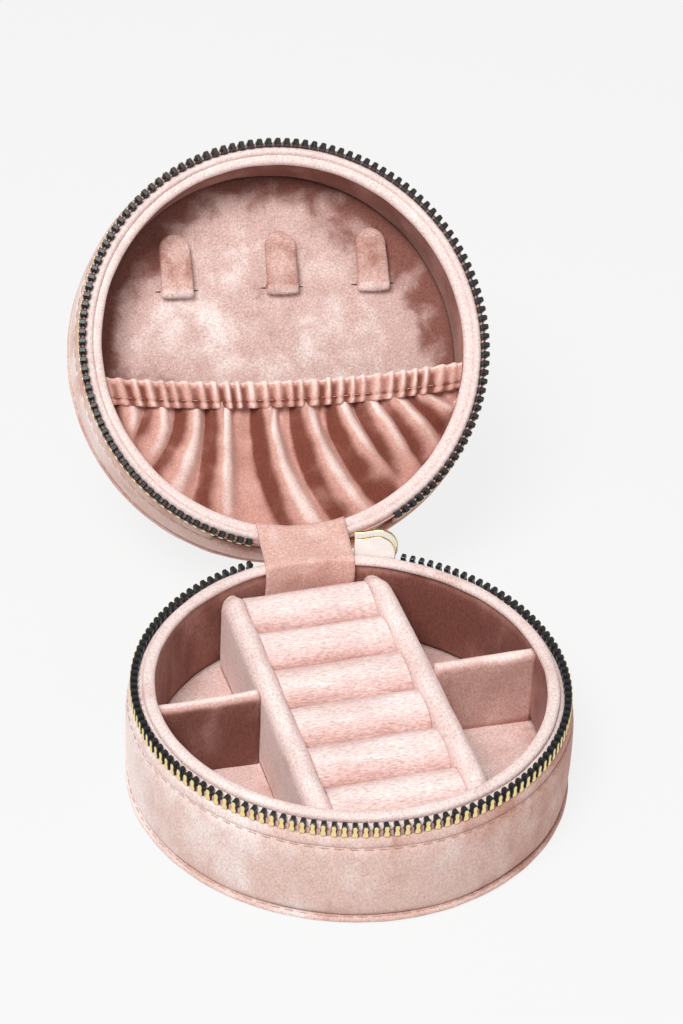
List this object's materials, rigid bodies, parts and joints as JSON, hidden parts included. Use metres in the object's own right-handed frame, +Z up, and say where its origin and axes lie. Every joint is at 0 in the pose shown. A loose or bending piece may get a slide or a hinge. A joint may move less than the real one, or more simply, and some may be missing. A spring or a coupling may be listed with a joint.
{
  "type": "travel jewelry case",
  "caption": "Round zip-up velvet jewellery case standing open: padded base with ring rolls and dividers, hinged lid with necklace hooks and a gathered pocket.",
  "frame": {"origin": "centre of the base's flat underside", "axes": "+Z up, +X to the right and -Y to the front, with the hinge at the back along X"},
  "size_m": [0.1056, 0.1921, 0.1039],
  "materials": {
    "velvet_cover": "dusty pink short-pile velvet with a soft nap",
    "velvet_lining": "dusty pink short-pile velvet, deeper in the shade",
    "velvet_piping": "dusty pink velvet, pale where the nap catches light",
    "velvet_insert": "padded dusty pink velvet",
    "foam": "thin wadding",
    "board": "stiffening board",
    "zip_tape": "woven zip tape",
    "zip_teeth": "polished gold faces over dark sides",
    "gold_metal": "polished pale gold plating"
  },
  "bodies": {
    "base": {"base_bottom_panel": "velvet_cover", "base_bottom_welt": "velvet_cover", "base_floor_pad": "velvet_lining", "base_lining": "velvet_lining", "base_lip_piping": "velvet_piping", "base_outer_cover": "velvet_cover", "base_padding": "foam", "base_rim_hem": "velvet_cover", "base_shell": "board", "base_zip_stop": "zip_teeth", "base_zip_tape": "zip_tape", "base_zip_teeth": "zip_teeth", "cross_divider_left": "velvet_insert", "cross_divider_right": "velvet_insert", "hinge_panel": "velvet_cover", "hinge_strap": "velvet_piping", "long_wall_left": "velvet_insert", "long_wall_right": "velvet_insert", "ring_roll_1": "velvet_insert", "ring_roll_2": "velvet_insert", "ring_roll_3": "velvet_insert", "ring_roll_4": "velvet_insert", "ring_roll_5": "velvet_insert", "ring_roll_6": "velvet_insert"},
    "lid": {"lid_lining": "velvet_lining", "lid_lining_panel": "velvet_lining", "lid_lip_piping": "velvet_piping", "lid_outer_cover": "velvet_cover", "lid_padding": "foam", "lid_rim_hem": "velvet_cover", "lid_shell": "board", "lid_top_panel": "velvet_cover", "lid_welt": "velvet_cover", "lid_zip_stop": "zip_teeth", "lid_zip_tape": "zip_tape", "lid_zip_teeth": "zip_teeth", "pocket_elastic_hem": "velvet_lining", "pocket_panel": "velvet_lining"},
    "hook_left": {"hook_left": "velvet_lining"},
    "hook_middle": {"hook_middle": "velvet_lining"},
    "hook_right": {"hook_right": "velvet_lining"},
    "slider": {"slider_body": "gold_metal", "slider_bail": "gold_metal"},
    "puller": {"puller": "gold_metal"}
  },
  "joints": [
    {"name": "lid_hinge", "type": "hinge", "parent": "base", "child": "lid", "pos_m": [0, 0.0521, 0.0269], "axis": [1, 0, 0], "range_deg": [0, 132.3], "deforming": ["hinge_strap", "hinge_panel", "lid_zip_tape", "lid_lip_piping"]},
    {"name": "slider_travel", "type": "hinge", "parent": "base", "child": "slider", "pos_m": [0, 0, 0.0281], "axis": [0, 0, -1], "range_deg": [0, 323]},
    {"name": "puller_swing", "type": "hinge", "parent": "slider", "child": "puller", "pos_m": [0.01702, 0.05146, 0.0289], "axis": [0.9494, -0.314, 0], "range_deg": [0, 50]},
    {"name": "hook_left_flex", "type": "hinge", "parent": "lid", "child": "hook_left", "pos_m": [-0.02367, 0.11226, 0.06463], "axis": [0.9995, -0.0223, -0.0245], "range_deg": [-3, 12], "stiffness_Nm_per_rad": 0.02},
    {"name": "hook_middle_flex", "type": "hinge", "parent": "lid", "child": "hook_middle", "pos_m": [0.00341, 0.11165, 0.06397], "axis": [0.9995, -0.0223, -0.0245], "range_deg": [-3, 12], "stiffness_Nm_per_rad": 0.02},
    {"name": "hook_right_flex", "type": "hinge", "parent": "lid", "child": "hook_right", "pos_m": [0.027, 0.11113, 0.06339], "axis": [0.9995, -0.0223, -0.0245], "range_deg": [-3, 12], "stiffness_Nm_per_rad": 0.02}
  ]
}
